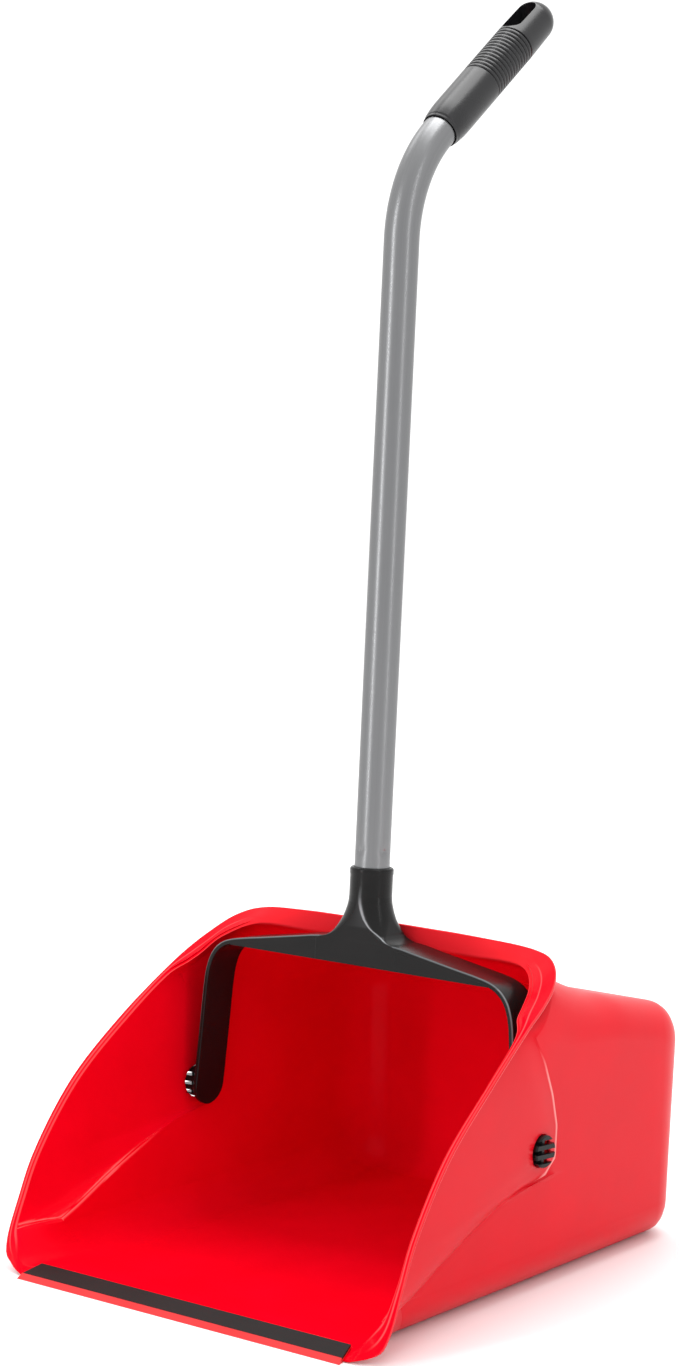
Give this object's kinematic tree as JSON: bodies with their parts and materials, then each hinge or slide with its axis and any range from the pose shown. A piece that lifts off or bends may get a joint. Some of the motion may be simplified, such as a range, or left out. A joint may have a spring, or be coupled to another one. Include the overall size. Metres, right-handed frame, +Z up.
{
  "type": "upright dustpan",
  "caption": "Deep hooded dustpan on a long bent tube handle, which hinges on the pan's side walls through a forked yoke.",
  "frame": {"origin": "bottom centre of the whole object's bounding box, on the floor", "axes": "+Z up; -Y towards the lip and the open mouth; X across the pan, along the handle's hinge"},
  "size_m": [0.3762, 0.4545, 0.9723],
  "materials": {
    "pan_red": "glossy moulded plastic, finely mottled outside",
    "lip_red": "satin soft plastic",
    "lip_black": "matt rubber",
    "yoke_black": "satin moulded plastic",
    "insert_natural": "unpigmented plastic",
    "tube_metal": "satin drawn tube",
    "grip_black": "satin moulded plastic"
  },
  "bodies": {
    "pan": {"pan": "pan_red", "lip_base_strip": "lip_red", "lip_rubber_strip": "lip_black"},
    "handle": {"yoke": "yoke_black", "tube_insert": "insert_natural", "handle_tube": "tube_metal", "grip": "grip_black"}
  },
  "joints": [
    {"name": "handle_pivot", "type": "hinge", "parent": "pan", "child": "handle", "pos_m": [0, -0.0076, 0.1095], "axis": [1, 0, 0], "range_deg": [0, 100]}
  ]
}
